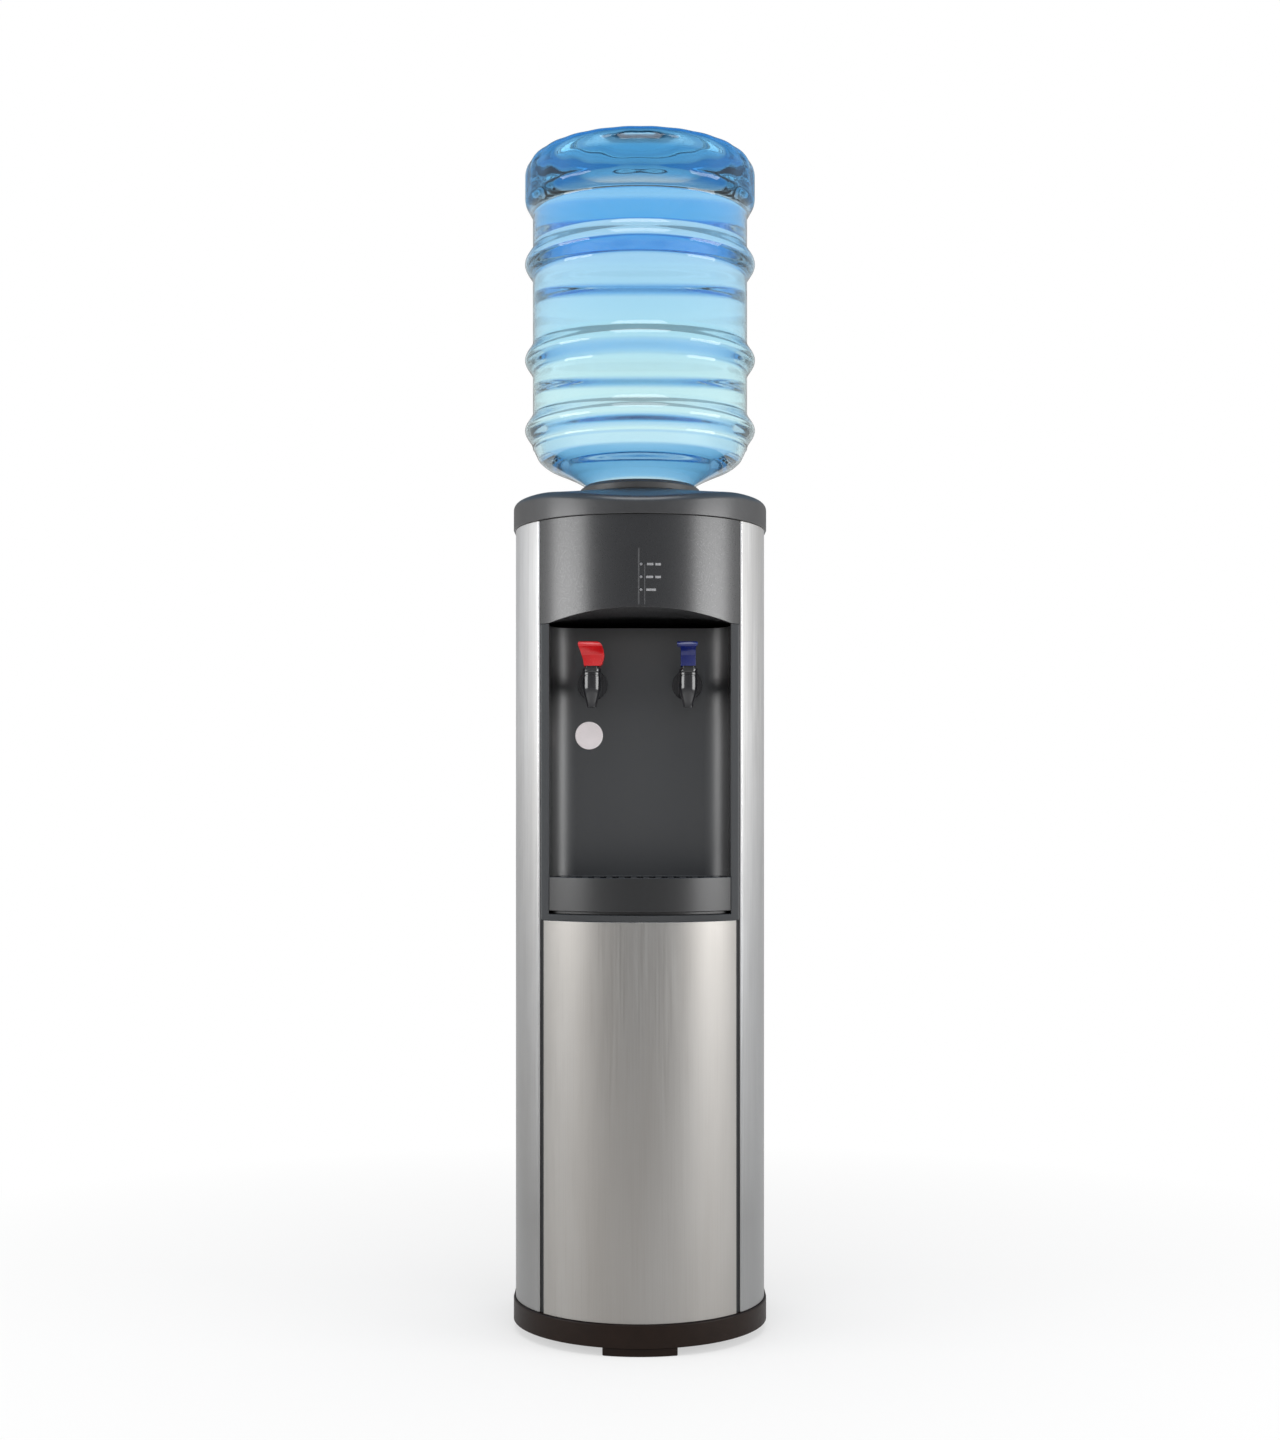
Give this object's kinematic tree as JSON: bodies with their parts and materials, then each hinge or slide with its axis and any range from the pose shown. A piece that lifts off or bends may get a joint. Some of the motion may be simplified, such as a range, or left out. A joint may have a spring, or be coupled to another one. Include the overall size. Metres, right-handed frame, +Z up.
{
  "type": "top load water cooler",
  "caption": "Floor standing water cooler: upside down ribbed bottle on a round-fronted steel cabinet, with hot and cold lever taps in an alcove over a lift-out drip tray.",
  "frame": {"origin": "on the floor, at the middle of the object's box seen from above, under the bottle's axis", "axes": "+Z up along the bottle's axis, -Y out of the front with the taps, +X to the right seen from the front"},
  "size_m": [0.298, 0.298, 1.3781],
  "materials": {
    "brushed_steel": "vertically brushed stainless steel",
    "side_steel": "smooth stainless steel sheet",
    "grey_plastic": "satin grey ABS",
    "dark_plastic": "glossy dark grey ABS",
    "black_plastic": "glossy black plastic",
    "base_plastic": "dark brown black plastic",
    "red_plastic": "glossy red plastic",
    "blue_plastic": "glossy dark blue plastic",
    "white_plastic": "white acetal",
    "bottle_plastic": "clear blue polycarbonate",
    "stainless": "plain stainless steel",
    "galvanised": "galvanised steel sheet",
    "copper": "drawn copper tube",
    "black_enamel": "black enamel",
    "rubber": "black rubber",
    "silicone": "milky silicone hose",
    "foam": "insulating foam",
    "circuit_green": "circuit board"
  },
  "bodies": {
    "cabinet": {"alcove_liner": "dark_plastic", "base_plinth": "base_plastic", "bottle_collar": "grey_plastic", "cold_hose": "silicone", "cold_tank": "stainless", "cold_tap_body": "black_plastic", "cold_tap_bonnet": "black_plastic", "cold_tap_nut": "white_plastic", "cold_tap_pin": "stainless", "cold_tap_spring": "stainless", "compressor": "black_enamel", "condenser_bracket_left": "black_enamel", "condenser_bracket_right": "black_enamel", "condenser_coil": "black_enamel", "control_fascia": "dark_plastic", "cord_gland": "rubber", "drain_outlet": "black_plastic", "drain_pipe": "silicone", "evaporator_coil": "copper", "feed_probe": "white_plastic", "foot_front": "black_plastic", "foot_rear_left": "rubber", "foot_rear_right": "rubber", "grommet_1": "rubber", "grommet_2": "rubber", "grommet_3": "rubber", "grommet_4": "rubber", "heater_band": "galvanised", "hot_hose": "silicone", "hot_tank": "stainless", "hot_tap_body": "black_plastic", "hot_tap_bonnet": "black_plastic", "hot_tap_nut": "white_plastic", "hot_tap_pin": "stainless", "hot_tap_spring": "stainless", "hot_thermostat": "black_plastic", "indicator_board": "circuit_green", "indicator_cooling": "white_plastic", "indicator_heating": "white_plastic", "indicator_power": "white_plastic", "insulation_shell": "foam", "lower_front_panel": "brushed_steel", "rear_panel": "galvanised", "side_panel_left": "side_steel", "side_panel_right": "side_steel", "switch_housing": "black_plastic", "tank_shelf": "galvanised", "top_cap": "grey_plastic"},
    "bottle": {"bottle": "bottle_plastic", "bottle_cap": "white_plastic"},
    "hot_lever": {"hot_tap_lever": "red_plastic"},
    "hot_catch": {"hot_tap_catch": "red_plastic"},
    "hot_stem": {"hot_tap_stem": "white_plastic"},
    "cold_lever": {"cold_tap_lever": "blue_plastic"},
    "cold_stem": {"cold_tap_stem": "white_plastic"},
    "tray": {"drip_tray": "dark_plastic"},
    "grille": {"drip_grille": "dark_plastic"},
    "hot_rocker": {"hot_rocker": "red_plastic"},
    "cold_rocker": {"cold_rocker": "blue_plastic"},
    "drain_plug": {"drain_plug": "rubber"}
  },
  "joints": [
    {"name": "bottle_lift", "type": "slide", "parent": "cabinet", "child": "bottle", "axis": [0, 0, 1], "range_m": [0, 0.14]},
    {"name": "hot_lever_press", "type": "hinge", "parent": "cabinet", "child": "hot_lever", "pos_m": [-0.0547, -0.1083, 0.775], "axis": [1, 0, 0], "range_deg": [0, 15], "stiffness_Nm_per_rad": 0.2, "springref_deg": -5.73, "deforming": ["hot_tap_spring"]},
    {"name": "cold_lever_press", "type": "hinge", "parent": "cabinet", "child": "cold_lever", "pos_m": [0.0547, -0.1083, 0.775], "axis": [1, 0, 0], "range_deg": [0, 15], "stiffness_Nm_per_rad": 0.2, "springref_deg": -5.73, "deforming": ["cold_tap_spring"]},
    {"name": "hot_stem_lift", "type": "slide", "parent": "cabinet", "child": "hot_stem", "axis": [0, 0, 1], "range_m": [0, 0.0028]},
    {"name": "cold_stem_lift", "type": "slide", "parent": "cabinet", "child": "cold_stem", "axis": [0, 0, 1], "range_m": [0, 0.0028]},
    {"name": "hot_catch_slide", "type": "slide", "parent": "hot_lever", "child": "hot_catch", "axis": [0, -1, 0], "range_m": [0, 0.003], "stiffness_N_per_m": 30, "springref_m": -0.002},
    {"name": "tray_slide", "type": "slide", "parent": "cabinet", "child": "tray", "axis": [0, -1, 0], "range_m": [0, 0.12]},
    {"name": "grille_lift", "type": "slide", "parent": "tray", "child": "grille", "axis": [0, 0, 1], "range_m": [0, 0.06]},
    {"name": "hot_rocker_tilt", "type": "hinge", "parent": "cabinet", "child": "hot_rocker", "pos_m": [-0.016, 0.127, 0.8907], "axis": [1, 0, 0], "range_deg": [0, 12]},
    {"name": "cold_rocker_tilt", "type": "hinge", "parent": "cabinet", "child": "cold_rocker", "pos_m": [0.016, 0.127, 0.8907], "axis": [1, 0, 0], "range_deg": [0, 12]},
    {"name": "drain_plug_pull", "type": "slide", "parent": "cabinet", "child": "drain_plug", "axis": [0, 1, 0], "range_m": [0, 0.02]}
  ],
  "couplings": [
    {"joint": "hot_stem_lift", "follows": "hot_lever_press", "m_per_rad": 0.0103},
    {"joint": "cold_stem_lift", "follows": "cold_lever_press", "m_per_rad": 0.0103}
  ]
}
